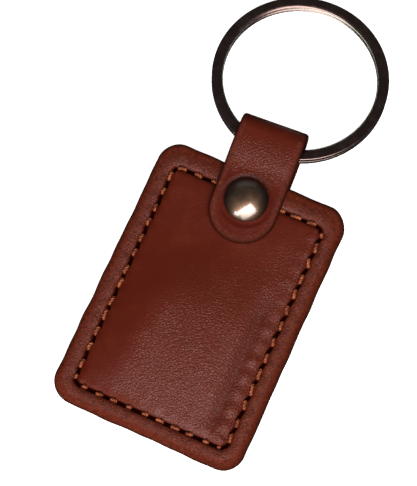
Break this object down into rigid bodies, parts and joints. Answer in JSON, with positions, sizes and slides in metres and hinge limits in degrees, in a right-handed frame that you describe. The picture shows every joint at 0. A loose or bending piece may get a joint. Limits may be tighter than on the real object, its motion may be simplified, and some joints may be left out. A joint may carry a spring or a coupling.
{
  "type": "leather rfid tag",
  "caption": "Stitched leather key fob holding a flat contactless inlay, with a riveted leather strap folded over a split key ring.",
  "frame": {"origin": "on the surface the tag lies on, under the middle of its bounding box", "axes": "+Z out of the front of the leather body, +Y along the body towards the ring, +X across the body"},
  "size_m": [0.039, 0.0946, 0.0098],
  "materials": {
    "leather": "semi-matt smooth grain, reddish brown",
    "thread": "waxed plied thread, copper brown",
    "foam": "thin closed-cell foam",
    "sheet_plastic": "laminated sheet",
    "copper": "bare copper",
    "chip_epoxy": "moulded black epoxy",
    "tinned_tab": "tinned",
    "dark_nickel": "polished black nickel",
    "steel": "plain plated steel"
  },
  "bodies": {
    "fob": {"front_panel": "leather", "back_panel": "leather", "needle_thread": "thread", "bobbin_thread": "thread", "padding": "foam", "inlay_carrier": "sheet_plastic", "inlay_cover": "sheet_plastic", "antenna_coil": "copper", "antenna_bridge": "copper", "chip_package": "chip_epoxy", "chip_tab_inner": "tinned_tab", "chip_tab_outer": "tinned_tab", "rivet_cap": "dark_nickel", "rivet_barrel": "steel", "rivet_post": "dark_nickel"},
    "strap_loop": {"strap": "leather"},
    "key_ring": {"split_ring": "dark_nickel"}
  },
  "joints": [
    {"name": "strap_pivot", "type": "hinge", "parent": "fob", "child": "strap_loop", "pos_m": [0, 0.00165, 0.0041], "axis": [0, 0, 1], "range_deg": [-15.4, 8.6]},
    {"name": "ring_swing", "type": "hinge", "parent": "strap_loop", "child": "key_ring", "pos_m": [-0.00075, 0.01428, 0.0041], "axis": [0.9982, 0.0593, 0], "range_deg": [-129.9, 140.1]}
  ]
}
